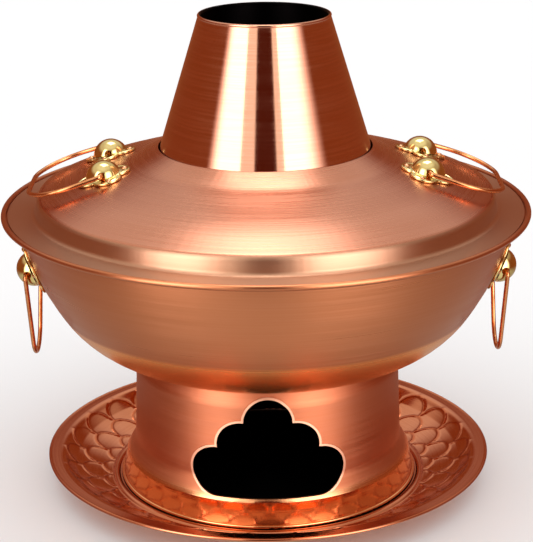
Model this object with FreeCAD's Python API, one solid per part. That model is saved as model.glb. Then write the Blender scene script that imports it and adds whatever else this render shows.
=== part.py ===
import FreeCAD, Part
import math
import os

# Chimney hot pot of spun copper: a water saucer, a stand with a cloud-shaped draught hole, a
# ring-shaped soup bowl round a fire tube, a charcoal grate, a lid with a hole for the cone, and
# a chimney cone. Wire bails hang from brass knobs on the lid and on the bowl.
# Millimetres. +Z is up, Z = 0 is the underside of the saucer and the fire's axis is the Z axis.
# The draught hole faces -Y. The bails are on the +X and -X sides.

# Fits
SEAT_GAP = 0.3              # a loose piece stands this far off the piece that carries it
SOLDER_GAP = 0.05           # film of solder between two sheets that follow each other
DRILL_CLEARANCE = 0.1       # round a rivet or shank in its hole
PIVOT_CLEARANCE = 0.08      # round a bail's end in its knob

# Bowl. Insets are measured inwards from the mouth, so that the whole wall follows it.
BOWL_SHEET = 1.2
BOWL_DEPTH = 87.3
RIM_RADIUS = 160.0
RIM_BEAD = 1.6
BRIM_WIDTH = 9.7
MOUTH_FILLET = 2.0
WALL_INSET = 6.8
WALL_RISE = 56.9
WALL_FILLET = 143.5
BELLY_INSET = 39.5
BELLY_RISE = 4.0
BELLY_FILLET = 68.0
BOWL_FLOOR_RADIUS = 79.0
BOWL_FLOOR_FILLET = 3.0
FIRE_HOLE_RADIUS = 67.0

# Stand. Each radius is given as a step outwards from the one above it.
STAND_SHEET = 1.2
STAND_HEIGHT = 83.0
STAND_NECK_INSET = 0.6      # from the edge of the bowl's floor
STAND_NECK_FILLET = 3.0
STAND_FLANGE_WIDTH = 8.0
STAND_SHOULDER_STEP = 3.2
STAND_SHOULDER_DROP = 9.5
STAND_WALL_FILLET = 14.0
STAND_WAIST_STEP = 1.8
STAND_WAIST_HEIGHT = 25.0
STAND_FLARE_STEP = 5.6
STAND_FLARE_HEIGHT = 15.5
STAND_FLARE_FILLET = 8.0
STAND_FOOT_STEP = 4.0
STAND_FOOT_BEAD = 1.1

# Saucer
SAUCER_SHEET = 1.2
SAUCER_RIM_RADIUS = 138.3
SAUCER_RIM_HEIGHT = 18.0
SAUCER_RIM_BEAD = 1.0
SAUCER_BRIM_WIDTH = 8.6
SAUCER_BRIM_FILLET = 3.0
SAUCER_FLANK_RUN = 28.7     # how far the dished flank runs outwards
SAUCER_FLOOR_FILLET = 8.0
SAUCER_HIP_INSET = 7.2      # from the inner edge of the brim
SAUCER_HIP_HEIGHT = 8.3
SAUCER_HIP_FILLET = 30.0
RIB_CLEARANCE = 1.5         # between the stand's foot and the rib that keeps it centred
RIB_WIDTH = 3.6
RIB_HEIGHT = 1.8
RIB_FILLET = 0.8

# Cloud-shaped draught hole: five round lobes of one radius on a flat sill
LOBE_RADIUS = 14.5
CLOUD_SILL_HEIGHT = 17.5
CLOUD_LOW_LOBE_X = 30.4
CLOUD_MID_LOBE_X = 15.9
CLOUD_MID_LOBE_RISE = 16.5
CLOUD_TOP_LOBE_RISE = 31.0
CLOUD_EDGE_WIDTH = 1.3
CLOUD_EDGE_RISE = 0.8

# Fire tube, its grate ring and the charcoal grate
TUBE_SHEET = 1.2
TUBE_RISE = 38.2            # of the tube's top above the bowl's brim
TUBE_FOOT_STEP = 4.0         # outwards from the fire hole in the bowl's floor
TUBE_FOOT_FLANGE = 5.5
TUBE_FOOT_FILLET = 2.5
TUBE_TOP_RADIUS = 59.5
TUBE_TOP_FILLET = 2.0
GRATE_RING_RISE = 7.0
GRATE_RING_THICKNESS = 2.0
GRATE_LEDGE_WIDTH = 6.0
GRATE_LIP_RISE = 2.5
GRATE_LIP_WIDTH = 1.5
GRATE_SIDE_GAP = 1.0
GRATE_TUBE_CLEARANCE = 2.3  # where the grate is lifted out through the top of the tube
GRATE_THICKNESS = 4.0
GRATE_BORDER = 7.0
GRATE_SLOT_WIDTH = 6.0
GRATE_BAR_WIDTH = 5.5
GRATE_SLOTS = 7

# Chimney cone and the spigot inside its foot
CONE_SHEET = 1.0
CONE_HEIGHT = 79.9
CONE_FOOT_STEP = 4.1         # outwards from the top of the fire tube
CONE_TOP_RADIUS = 39.75
CONE_BEAD = 1.0
SPIGOT_SHEET = 1.0
SPIGOT_DEPTH = 8.0
SPIGOT_CLEARANCE = 0.6
SPIGOT_LIFT = 0.8
SPIGOT_FILLET = 1.5

# Lid and the skirt that keeps it centred in the bowl's mouth
LID_SHEET = 1.0
LID_CONE_CLEARANCE = 1.0
LID_RIM_CLEARANCE = 0.8
LID_RISE = 37.7
COLLAR_WIDTH = 13.9
COLLAR_DROP = 7.1
COLLAR_FILLET = 25.0
CROWN_INSET = 22.0          # from the shoulder
CROWN_HEIGHT = 20.0
CROWN_FILLET = 120.0
SHOULDER_INSET = 2.0        # from the foot of the step
SHOULDER_HEIGHT = 10.3
SHOULDER_FILLET = 5.0
STEP_INSET = 10.3           # from the bowl's mouth
STEP_FILLET = 3.0
SKIRT_SHEET = 1.0
SKIRT_DEPTH = 7.5
SKIRT_CLEARANCE = 2.4
SKIRT_FLANGE = 3.5
SKIRT_FILLET = 1.5

# Brass knobs on lobed plates. Rises are measured from the sheet along the knob's axis.
KNOB_RADIUS = 10.7
KNOB_CENTRE_RISE = -0.3
KNOB_HALF_SPACING = 26.5
LID_KNOB_INSET = 17.0       # from the lid's crown
BOWL_KNOB_DROP = 30.0       # below the top of the bowl's brim
PIVOT_RISE = 4.0
PIVOT_SINK_DEPTH = 1.0      # of the countersinks where the cross hole leaves the dome
SHANK_RADIUS = 2.0
PEEN_RADIUS = 3.4
PEEN_THICKNESS = 1.0
PLATE_SHEET = 1.5
PLATE_LOBE_RADIUS = 8.6
PLATE_LOBE_REACH = 7.9
BOSS_RADIUS = 11.0
BOSS_RISE = 2.1
RIVET_REACH = 13.2
RIVET_HEAD_RADIUS = 1.6
RIVET_HEAD_RISE = 0.9
RIVET_RADIUS = 0.8
RIVET_TAIL_RADIUS = 1.3
RIVET_TAIL_THICKNESS = 0.5

# Wire bails
WIRE_RADIUS = 1.35
BAIL_KNOB_GAP = 1.1
BAIL_PIN_LENGTH = 15.1
BAIL_BEND_RADIUS = 1.5
LID_BAIL_REACH = 47.5
LID_BAIL_SWELL = 6.0
LID_BAIL_FILLET = 28.0
LID_BAIL_SLOPE = 18.0       # degrees below level at rest
BOWL_BAIL_REACH = 60.0
BOWL_BAIL_TIP_RADIUS = 20.0

# Radii and heights that follow from the sizes above
MOUTH_RADIUS = RIM_RADIUS - BRIM_WIDTH
WALL_RADIUS = MOUTH_RADIUS - WALL_INSET
BELLY_RADIUS = MOUTH_RADIUS - BELLY_INSET
STAND_NECK_RADIUS = BOWL_FLOOR_RADIUS - STAND_NECK_INSET
STAND_SHOULDER_RADIUS = STAND_NECK_RADIUS + STAND_SHOULDER_STEP
STAND_WAIST_RADIUS = STAND_SHOULDER_RADIUS + STAND_WAIST_STEP
STAND_FLARE_RADIUS = STAND_WAIST_RADIUS + STAND_FLARE_STEP
STAND_FOOT_RADIUS = STAND_FLARE_RADIUS + STAND_FOOT_STEP
TUBE_FOOT_RADIUS = FIRE_HOLE_RADIUS + TUBE_FOOT_STEP
GRATE_RADIUS = TUBE_TOP_RADIUS - TUBE_SHEET - GRATE_TUBE_CLEARANCE
GRATE_RING_BORE = GRATE_RADIUS - GRATE_LEDGE_WIDTH
CONE_FOOT_RADIUS = TUBE_TOP_RADIUS + CONE_FOOT_STEP
LID_HOLE_RADIUS = CONE_FOOT_RADIUS + LID_CONE_CLEARANCE
LID_BRIM_RADIUS = RIM_RADIUS - 2 * RIM_BEAD - LID_RIM_CLEARANCE
COLLAR_RADIUS = LID_HOLE_RADIUS + COLLAR_WIDTH
STEP_RADIUS = MOUTH_RADIUS - STEP_INSET
SHOULDER_RADIUS = STEP_RADIUS - SHOULDER_INSET
CROWN_RADIUS = SHOULDER_RADIUS - CROWN_INSET
LID_KNOB_RADIUS = CROWN_RADIUS - LID_KNOB_INSET
BAIL_HALF_WIDTH = KNOB_HALF_SPACING + KNOB_RADIUS + BAIL_KNOB_GAP + WIRE_RADIUS
STAND_FOOT_Z = SAUCER_SHEET + SEAT_GAP
BOWL_FLOOR_Z = STAND_FOOT_Z + STAND_HEIGHT
BRIM_UNDERSIDE_Z = BOWL_FLOOR_Z + BOWL_DEPTH
BRIM_TOP_Z = BRIM_UNDERSIDE_Z + BOWL_SHEET
TUBE_FOOT_Z = BOWL_FLOOR_Z + BOWL_SHEET
TUBE_TOP_Z = BRIM_TOP_Z + TUBE_RISE
CONE_FOOT_Z = TUBE_TOP_Z + SEAT_GAP
CONE_TOP_Z = CONE_FOOT_Z + CONE_HEIGHT
LID_BRIM_Z = BRIM_TOP_Z + SEAT_GAP + LID_SHEET

V = FreeCAD.Vector
ORIGIN = V(0, 0, 0)
UP = V(0, 0, 1)
ACROSS = V(0, 1, 0)
FULL_TURN = 360.0
LONG = 400.0                # longer than any piece, for cutting tools and probes
TOOL_REACH = 10.0           # cutting tools for knobs and plates reach this far in and out of a skin
NO_RUN = 1e-4               # a bend or run shorter than this is left out


# Profiles: a profile is a list of (radius, height, fillet) corners in the XZ plane

def to_left(direction):
    """The direction turned a quarter to the left, seen with X to the right and Z up."""
    return V(-direction.z, 0, direction.x)


def shifted(profile, shift):
    """The profile moved sideways to its left by shift, with its fillets kept concentric."""
    points = [V(r, 0, z) for r, z, _ in profile]
    legs = [(b - a).normalize() for a, b in zip(points, points[1:])]
    moved = []
    for point, before, after, corner in zip(points, legs[:1] + legs, legs + legs[-1:], profile):
        normals = to_left(before) + to_left(after)
        spot = point + normals * (shift / (1 + before.dot(after)))
        turns_left = to_left(before).dot(after) > 0
        fillet = corner[2] - shift if turns_left else corner[2] + shift
        moved.append((spot.x, spot.z, max(fillet, 0) if corner[2] > 0 else 0))
    return moved


def bend_reaches(corners):
    """How far each corner's fillet reaches along its runs, cut down where two fillets share a run."""
    points = [point for point, _ in corners]
    runs = [(b - a).Length for a, b in zip(points, points[1:])]
    reaches = [0.0]
    for before, (point, fillet), after in zip(points, corners[1:], points[2:]):
        half_turn = (point - before).getAngle(after - point) / 2
        reaches.append(fillet * math.tan(half_turn))
    reaches.append(0.0)
    room = [min(1.0, run / max(a + b, 1e-9)) for run, a, b in zip(runs, reaches, reaches[1:])]
    return [reach * min(a, b) for reach, a, b in zip(reaches, [1.0] + room, room + [1.0])]


def straight(start, end):
    """A straight edge as a list, or nothing where the two points fall together."""
    return [Part.makeLine(start, end)] if start.distanceToPoint(end) > NO_RUN else []


def edges_along(corners):
    """Straight edges joined by tangent arcs through (point, fillet) corners."""
    edges = []
    start = corners[0][0]
    reaches = bend_reaches(corners)[1:]
    for (before, _), (point, _), (after, _), reach in zip(corners, corners[1:], corners[2:], reaches):
        if reach < NO_RUN:
            edges += straight(start, point)
            start = point
            continue
        inward = (point - before).normalize()
        outward = (after - point).normalize()
        half_turn = inward.getAngle(outward) / 2
        sagitta = reach / math.tan(half_turn) * (1 / math.cos(half_turn) - 1)
        first = point - inward * reach
        middle = point + (outward - inward).normalize() * sagitta
        last = point + outward * reach
        edges += straight(start, first)
        edges.append(Part.Arc(first, middle, last).toShape())
        start = last
    return edges + straight(start, corners[-1][0])


def profile_edges(profile, shift=0.0):
    """Edges of the profile, moved to its left by shift."""
    moved = shifted(profile, shift)
    return edges_along([(V(r, 0, z), fillet) for r, z, fillet in moved])


def spun(profile, near, far):
    """The sheet between the profile moved left by near and by far, spun round the Z axis."""
    first = profile_edges(profile, near)
    second = profile_edges(profile, far)
    caps = [Part.makeLine(a, b) for a, b in (
        (first[0].Vertexes[0].Point, second[0].Vertexes[0].Point),
        (first[-1].Vertexes[-1].Point, second[-1].Vertexes[-1].Point))]
    outline = Part.Wire(Part.sortEdges(first + second + caps)[0])
    return Part.Face(outline).revolve(ORIGIN, UP, FULL_TURN)


def bead(outer_radius, bead_radius, height):
    """A rolled edge: a torus with the given outer radius, centred at height."""
    return Part.makeTorus(outer_radius - bead_radius, bead_radius, V(0, 0, height), UP)


def cylinder(radius, low, high):
    """A cylinder on the Z axis from low to high."""
    return Part.makeCylinder(radius, high - low, V(0, 0, low), UP)


def ring(outer, inner, low, high):
    """A flat ring on the Z axis."""
    return cylinder(outer, low, high).cut(cylinder(inner, low, high))


def save(node, shape):
    """Write one sub-part to parts/, with its volume for the builder's log."""
    shape.exportStep("parts/" + node + ".step")
    print(node, "solids", len(shape.Solids), "valid", shape.isValid(), "mm3", round(shape.Volume, 1))


# Saucer

def saucer():
    """Spun saucer: flat floor, rib round the stand's foot, dished flank and beaded brim."""
    rib_inner = STAND_FOOT_RADIUS + RIB_CLEARANCE
    brim_inner = SAUCER_RIM_RADIUS - SAUCER_BRIM_WIDTH
    floor_radius = brim_inner - SAUCER_FLANK_RUN
    bead_z = SAUCER_RIM_HEIGHT - SAUCER_RIM_BEAD
    brim_z = bead_z - SAUCER_SHEET / 2
    underside = [
        (0, 0, 0),
        (rib_inner, 0, RIB_FILLET),
        (rib_inner + RIB_WIDTH / 2, RIB_HEIGHT, RIB_FILLET),
        (rib_inner + RIB_WIDTH, 0, RIB_FILLET),
        (floor_radius, 0, SAUCER_FLOOR_FILLET),
        (brim_inner - SAUCER_HIP_INSET, SAUCER_HIP_HEIGHT, SAUCER_HIP_FILLET),
        (brim_inner, brim_z, SAUCER_BRIM_FILLET),
        (SAUCER_RIM_RADIUS - SAUCER_RIM_BEAD, brim_z, 0)]
    edge = bead(SAUCER_RIM_RADIUS, SAUCER_RIM_BEAD, bead_z)
    return spun(underside, 0, SAUCER_SHEET).fuse(edge)


# Stand with the draught hole

def lobe_notch(first, second, radius):
    """The upper or outer crossing of two equal circles in the XZ plane."""
    half = (second - first) * 0.5
    side = to_left(half).normalize() * math.sqrt(radius ** 2 - half.Length ** 2)
    return first + half + side


def cloud_prism(grow):
    """The draught hole as a prism along Y, made larger all round by grow."""
    radius = LOBE_RADIUS + grow
    sill = STAND_FOOT_Z + CLOUD_SILL_HEIGHT
    low_z = sill + LOBE_RADIUS
    centres = [
        V(CLOUD_LOW_LOBE_X, 0, low_z),
        V(CLOUD_MID_LOBE_X, 0, low_z + CLOUD_MID_LOBE_RISE),
        V(0, 0, low_z + CLOUD_TOP_LOBE_RISE),
        V(-CLOUD_MID_LOBE_X, 0, low_z + CLOUD_MID_LOBE_RISE),
        V(-CLOUD_LOW_LOBE_X, 0, low_z)]
    corners = [centres[0] - UP * radius]
    corners += [lobe_notch(b, a, radius) for a, b in zip(centres, centres[1:])]
    corners += [centres[-1] - UP * radius]
    outward = [V(1, 0, 0), V(1, 0, 1), V(0, 0, 1), V(-1, 0, 1), V(-1, 0, 0)]
    edges = [Part.makeLine(corners[-1], corners[0])]
    for start, end, centre, away in zip(corners, corners[1:], centres, outward):
        edges.append(Part.Arc(start, centre + away.normalize() * radius, end).toShape())
    return Part.Face(Part.Wire(edges)).extrude(ACROSS * -LONG)


def stand():
    """Spun stand: flange under the bowl, neck, drum, flare and beaded foot, with the cloud hole."""
    top = BOWL_FLOOR_Z
    foot = STAND_FOOT_Z
    skin = [
        (STAND_NECK_RADIUS - STAND_FLANGE_WIDTH, top, 0),
        (STAND_NECK_RADIUS, top, STAND_NECK_FILLET),
        (STAND_SHOULDER_RADIUS, top - STAND_SHOULDER_DROP, STAND_WALL_FILLET),
        (STAND_WAIST_RADIUS, foot + STAND_WAIST_HEIGHT, STAND_FLARE_FILLET),
        (STAND_FLARE_RADIUS, foot + STAND_FLARE_HEIGHT, STAND_FOOT_BEAD),
        (STAND_FOOT_RADIUS - STAND_FOOT_BEAD, foot + STAND_FOOT_BEAD, 0)]
    shell = spun(skin, -STAND_SHEET, 0)
    shell = shell.fuse(bead(STAND_FOOT_RADIUS, STAND_FOOT_BEAD, foot + STAND_FOOT_BEAD))
    turned_edge = spun(skin, -STAND_SHEET / 2, CLOUD_EDGE_RISE).common(cloud_prism(CLOUD_EDGE_WIDTH))
    return shell.fuse(turned_edge).cut(cloud_prism(0))


# Bowl

BOWL_SKIN = [
    (FIRE_HOLE_RADIUS, BOWL_FLOOR_Z, 0),
    (BOWL_FLOOR_RADIUS, BOWL_FLOOR_Z, BOWL_FLOOR_FILLET),
    (BELLY_RADIUS, BOWL_FLOOR_Z + BELLY_RISE, BELLY_FILLET),
    (WALL_RADIUS, BOWL_FLOOR_Z + WALL_RISE, WALL_FILLET),
    (MOUTH_RADIUS, BRIM_UNDERSIDE_Z, MOUTH_FILLET),
    (RIM_RADIUS - 1.5 * RIM_BEAD, BRIM_UNDERSIDE_Z, 0)]


def bowl():
    """Spun bowl with a fire hole in its floor, a flat brim and a rim rolled over a wire."""
    rim = bead(RIM_RADIUS, RIM_BEAD, BRIM_UNDERSIDE_Z + BOWL_SHEET / 2 + RIM_BEAD)
    return spun(BOWL_SKIN, 0, BOWL_SHEET).fuse(rim)


# Fire tube, grate ring and grate

def tube_radius(z):
    """Outer radius of the fire tube's straight flank at height z."""
    rise = (z - TUBE_FOOT_Z) / (TUBE_TOP_Z - TUBE_FOOT_Z)
    return TUBE_FOOT_RADIUS + (TUBE_TOP_RADIUS - TUBE_FOOT_RADIUS) * rise


def fire_tube():
    """Tapered tube with a foot flange soldered to the bowl and a top flange for the cone."""
    skin = [
        (TUBE_FOOT_RADIUS + TUBE_FOOT_FLANGE, TUBE_FOOT_Z + TUBE_SHEET, 0),
        (TUBE_FOOT_RADIUS, TUBE_FOOT_Z + TUBE_SHEET, TUBE_FOOT_FILLET),
        (TUBE_TOP_RADIUS, TUBE_TOP_Z - TUBE_SHEET, TUBE_TOP_FILLET),
        (CONE_FOOT_RADIUS - SEAT_GAP, TUBE_TOP_Z - TUBE_SHEET, 0)]
    return spun(skin, 0, TUBE_SHEET)


def grate_ring():
    """Ledge inside the fire tube, with a low lip that keeps the grate centred."""
    low = TUBE_FOOT_Z + GRATE_RING_RISE
    high = low + GRATE_RING_THICKNESS
    inside = tube_radius(high) - TUBE_SHEET - SEAT_GAP
    lip = GRATE_RADIUS + GRATE_SIDE_GAP
    shelf = ring(inside, GRATE_RING_BORE, low, high)
    return shelf.fuse(ring(lip + GRATE_LIP_WIDTH, lip, high, high + GRATE_LIP_RISE)).removeSplitter()


def charcoal_grate():
    """Cast disc with straight slots that stop short of its border."""
    low = TUBE_FOOT_Z + GRATE_RING_RISE + GRATE_RING_THICKNESS + SEAT_GAP
    high = low + GRATE_THICKNESS
    pitch = GRATE_SLOT_WIDTH + GRATE_BAR_WIDTH
    field = GRATE_RADIUS - GRATE_BORDER
    disc = cylinder(GRATE_RADIUS, low, high)
    for number in range(GRATE_SLOTS):
        y = (number - (GRATE_SLOTS - 1) / 2) * pitch
        reach = math.sqrt(field ** 2 - (abs(y) + GRATE_SLOT_WIDTH / 2) ** 2) - GRATE_SLOT_WIDTH / 2
        slot = Part.makeBox(2 * reach, GRATE_SLOT_WIDTH, GRATE_THICKNESS,
                            V(-reach, y - GRATE_SLOT_WIDTH / 2, low))
        for x in (-reach, reach):
            slot = slot.fuse(Part.makeCylinder(GRATE_SLOT_WIDTH / 2, GRATE_THICKNESS, V(x, y, low)))
        disc = disc.cut(slot)
    return disc


# Chimney cone

CONE_BEAD_Z = CONE_TOP_Z - CONE_BEAD


def cone_radius(z):
    """Outer radius of the chimney cone at height z."""
    rise = (z - CONE_FOOT_Z) / (CONE_BEAD_Z - CONE_FOOT_Z)
    return CONE_FOOT_RADIUS + (CONE_TOP_RADIUS - CONE_BEAD / 2 - CONE_FOOT_RADIUS) * rise


def chimney():
    """Straight cone of sheet with its top edge rolled."""
    flank = [
        (CONE_FOOT_RADIUS, CONE_FOOT_Z, 0),
        (cone_radius(CONE_BEAD_Z), CONE_BEAD_Z, 0)]
    foot_trim = cylinder(CONE_FOOT_RADIUS + LONG, CONE_FOOT_Z - LONG, CONE_FOOT_Z)
    shell = spun(flank, 0, CONE_SHEET).cut(foot_trim)
    return shell.fuse(bead(CONE_TOP_RADIUS, CONE_BEAD, CONE_BEAD_Z))


def chimney_spigot():
    """Short sleeve soldered inside the cone's foot. It drops into the fire tube."""
    flange_z = CONE_FOOT_Z + SPIGOT_LIFT
    slant = math.hypot(CONE_FOOT_RADIUS - cone_radius(CONE_BEAD_Z), CONE_BEAD_Z - CONE_FOOT_Z)
    wall = CONE_SHEET * slant / (CONE_BEAD_Z - CONE_FOOT_Z)
    outer = tube_radius(TUBE_TOP_Z) - TUBE_SHEET - SPIGOT_CLEARANCE
    skin = [
        (outer, CONE_FOOT_Z - SPIGOT_DEPTH, 0),
        (outer, flange_z, SPIGOT_FILLET),
        (cone_radius(flange_z + SPIGOT_SHEET) - wall - SOLDER_GAP, flange_z, 0)]
    return spun(skin, 0, SPIGOT_SHEET)


# Lid

LID_SKIN = [
    (LID_HOLE_RADIUS, LID_BRIM_Z + LID_RISE, 0),
    (COLLAR_RADIUS, LID_BRIM_Z + LID_RISE - COLLAR_DROP, COLLAR_FILLET),
    (CROWN_RADIUS, LID_BRIM_Z + CROWN_HEIGHT, CROWN_FILLET),
    (SHOULDER_RADIUS, LID_BRIM_Z + SHOULDER_HEIGHT, SHOULDER_FILLET),
    (STEP_RADIUS, LID_BRIM_Z, STEP_FILLET),
    (LID_BRIM_RADIUS, LID_BRIM_Z, 0)]


def lid():
    """Spun lid: collar round the cone, crown, rounded shoulder, step and flat brim."""
    hole_trim = cylinder(LID_HOLE_RADIUS, BRIM_TOP_Z, CONE_TOP_Z)
    return spun(LID_SKIN, -LID_SHEET, 0).cut(hole_trim)


def lid_skirt():
    """Ring soldered under the lid's brim. It keeps the lid centred in the bowl's mouth."""
    outer = MOUTH_RADIUS - BOWL_SHEET - SKIRT_CLEARANCE
    top = LID_BRIM_Z - LID_SHEET
    skin = [
        (outer - SKIRT_FLANGE, top, 0),
        (outer, top, SKIRT_FILLET),
        (outer, top - SKIRT_DEPTH, 0)]
    return spun(skin, -SKIRT_SHEET, 0)


# Knobs, plates and rivets, built over the +X axis and then turned to their places

def turned(shape, azimuth):
    """A copy of the shape, turned round the pot's axis."""
    copy = shape.copy()
    copy.rotate(ORIGIN, UP, azimuth)
    return copy


class Seat:
    """A place on a skin of revolution, where a probe line meets the skin's profile."""

    def __init__(self, skin, outside, probe, azimuth=0.0):
        line = Part.Wire(profile_edges(skin))
        self.foot = line.distToShape(probe)[1][0][0]
        edge = min(line.Edges, key=lambda e: e.distToShape(Part.Vertex(self.foot))[0])
        self.along = edge.Curve.tangent(edge.Curve.parameter(self.foot))[0].normalize()
        left = to_left(self.along)
        self.side = 1 if left.dot(outside) > 0 else -1
        self.normal = left * self.side
        self.azimuth = azimuth

    def place(self, shape):
        """Stand a shape that was built on the Z axis on the skin, square to it."""
        tilt = math.degrees(math.atan2(self.normal.x, self.normal.z))
        placed = shape.copy()
        placed.rotate(ORIGIN, ACROSS, tilt)
        placed.translate(self.foot)
        return turned(placed, self.azimuth)


class Mount:
    """Where one kind of knob, its plate and its rivets stand on a skin of revolution."""

    def __init__(self, skin, outside, probe, gauge):
        self.skin = skin
        self.gauge = gauge
        self.seat = Seat(skin, outside, probe)
        foot = self.seat.foot
        self.pivot = foot + self.seat.normal * PIVOT_RISE
        self.azimuth = math.degrees(math.asin(KNOB_HALF_SPACING / self.pivot.x))
        aside = math.degrees(math.asin(RIVET_REACH / foot.x))
        self.rivet_seats = [Seat(skin, outside, probe, aside), Seat(skin, outside, probe, -aside)]
        for reach in (RIVET_REACH, -RIVET_REACH):
            spot = foot + self.seat.along * reach
            drop = self.seat.normal * TOOL_REACH
            self.rivet_seats.append(Seat(skin, outside, Part.makeLine(spot - drop, spot + drop)))

    def azimuths(self):
        """The four knobs by name, with the angle each is turned to round the pot's axis."""
        return {
            "right_front": -self.azimuth,
            "right_back": self.azimuth,
            "left_front": 180 + self.azimuth,
            "left_back": 180 - self.azimuth}

    def turned_point(self, point, azimuth):
        """Where a point over the +X axis comes to when it is turned to azimuth."""
        angle = math.radians(azimuth)
        return V(point.x * math.cos(angle), point.x * math.sin(angle), point.z)


def drills(mount):
    """Holes for a knob's shank and its four rivets, square to the sheet."""
    shank = cylinder(SHANK_RADIUS + DRILL_CLEARANCE, -TOOL_REACH, TOOL_REACH)
    rivet = cylinder(RIVET_RADIUS + DRILL_CLEARANCE, -TOOL_REACH, TOOL_REACH)
    holes = [mount.seat.place(shank)] + [seat.place(rivet) for seat in mount.rivet_seats]
    return Part.makeCompound(holes)


def quatrefoil():
    """Outline of a plate: four round lobes, as a prism that straddles the skin."""
    reach = PLATE_LOBE_REACH
    diagonal = (reach + math.sqrt(2 * PLATE_LOBE_RADIUS ** 2 - reach ** 2)) / 2
    edges = []
    for quarter in range(4):
        arc = Part.Arc(V(diagonal, -diagonal, 0), V(reach + PLATE_LOBE_RADIUS, 0, 0),
                       V(diagonal, diagonal, 0)).toShape()
        arc.rotate(ORIGIN, UP, 90 * quarter)
        edges.append(arc)
    outline = Part.Face(Part.Wire(edges))
    outline.translate(UP * -TOOL_REACH)
    return outline.extrude(UP * 2 * TOOL_REACH)


def plate(mount):
    """Lobed plate that follows the skin, with a flat round boss under the knob."""
    outward = mount.seat.side
    leaf_skin = spun(mount.skin, outward * SOLDER_GAP, outward * (SOLDER_GAP + PLATE_SHEET))
    leaf = mount.seat.place(quatrefoil()).common(leaf_skin)
    boss_skin = spun(mount.skin, outward * SOLDER_GAP, outward * BOSS_RISE * 2)
    boss = mount.seat.place(cylinder(BOSS_RADIUS, -TOOL_REACH, BOSS_RISE)).common(boss_skin)
    return leaf.fuse(boss).cut(drills(mount))


def cross_hole(mount, azimuth):
    """The hole for a bail's end, along the bail's axis, countersunk where it leaves the dome."""
    pivot = mount.turned_point(mount.pivot, azimuth)
    centre = mount.turned_point(mount.seat.foot + mount.seat.normal * KNOB_CENTRE_RISE, azimuth)
    reach = math.sqrt(KNOB_RADIUS ** 2 - (pivot.x - centre.x) ** 2 - (pivot.z - centre.z) ** 2)
    radius = WIRE_RADIUS + PIVOT_CLEARANCE
    hole = Part.makeCylinder(radius, 4 * KNOB_RADIUS, pivot - ACROSS * 2 * KNOB_RADIUS, ACROSS)
    for side in (1, -1):
        away = ACROSS * side
        tip = V(pivot.x, centre.y, pivot.z) + away * (reach - PIVOT_SINK_DEPTH)
        sink = Part.makeCone(radius, radius + 2 * PIVOT_SINK_DEPTH, 2 * PIVOT_SINK_DEPTH, tip, away)
        hole = hole.fuse(sink)
    return hole


def knob(mount, azimuth):
    """Domed knob with a peened shank, cross-drilled for the bail."""
    centre = V(0, 0, KNOB_CENTRE_RISE)
    ball = Part.makeSphere(KNOB_RADIUS, centre)
    dome = ball.common(cylinder(KNOB_RADIUS * 2, BOSS_RISE, KNOB_RADIUS * 2))
    inside = -mount.gauge - SEAT_GAP
    shank = cylinder(SHANK_RADIUS, inside - PEEN_THICKNESS, BOSS_RISE)
    peened = cylinder(PEEN_RADIUS, inside - PEEN_THICKNESS, inside)
    solid = turned(mount.seat.place(dome.fuse([shank, peened])), azimuth)
    return solid.cut(cross_hole(mount, azimuth))


def rivets(mount):
    """The four rivets of one plate: domed head, shank through plate and sheet, flat tail."""
    head_z = SOLDER_GAP + PLATE_SHEET + SOLDER_GAP
    tail_z = -mount.gauge - SEAT_GAP
    cap_radius = (RIVET_HEAD_RADIUS ** 2 + RIVET_HEAD_RISE ** 2) / (2 * RIVET_HEAD_RISE)
    ball = Part.makeSphere(cap_radius, V(0, 0, head_z + RIVET_HEAD_RISE - cap_radius))
    head = ball.common(cylinder(RIVET_HEAD_RADIUS * 2, head_z, head_z + RIVET_HEAD_RISE * 2))
    shank = cylinder(RIVET_RADIUS, tail_z - RIVET_TAIL_THICKNESS, head_z)
    tail = cylinder(RIVET_TAIL_RADIUS, tail_z - RIVET_TAIL_THICKNESS, tail_z)
    rivet = head.fuse([shank, tail])
    return Part.makeCompound([seat.place(rivet) for seat in mount.rivet_seats])


def drilled(sheet, mount):
    """A bowl or lid with the holes of its four knobs and their rivets."""
    tools = [turned(drills(mount), azimuth) for azimuth in mount.azimuths().values()]
    return sheet.cut(tools)


# Wire bails

def wire_bent(corners, normal):
    """Round wire along straight runs and tangent bends."""
    path = Part.Wire(edges_along(corners))
    start = corners[0][0]
    section = Part.Wire(Part.makeCircle(WIRE_RADIUS, start, normal))
    return path.makePipeShell([section], True, False)


def bail_ends():
    """The half of a bail's path that every bail shares: the pin in the knob and its bend."""
    return [
        (V(0, BAIL_HALF_WIDTH - BAIL_PIN_LENGTH, 0), 0),
        (V(0, BAIL_HALF_WIDTH, 0), BAIL_BEND_RADIUS)]


def mirrored(corners):
    """Corners of a whole bail from the half with Y > 0."""
    return corners + [(V(p.x, -p.y, p.z), fillet) for p, fillet in reversed(corners)]


def lid_bail():
    """D-shaped bail, lying level along +X."""
    corner = (V(LID_BAIL_REACH, BAIL_HALF_WIDTH + LID_BAIL_SWELL, 0), LID_BAIL_FILLET)
    return wire_bent(mirrored(bail_ends() + [corner]), ACROSS)


def bowl_bail():
    """V-shaped bail with a round tip, lying level along +X."""
    tip_centre = BOWL_BAIL_REACH - BOWL_BAIL_TIP_RADIUS
    slant = math.hypot(tip_centre, BAIL_HALF_WIDTH)
    lean = math.atan(BAIL_HALF_WIDTH / tip_centre) - math.asin(BOWL_BAIL_TIP_RADIUS / slant)
    apex = (V(BAIL_HALF_WIDTH / math.tan(lean), 0, 0), BOWL_BAIL_TIP_RADIUS)
    ends = bail_ends()
    other = [(V(p.x, -p.y, p.z), fillet) for p, fillet in reversed(ends)]
    return wire_bent(ends + [apex] + other, ACROSS)


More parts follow.
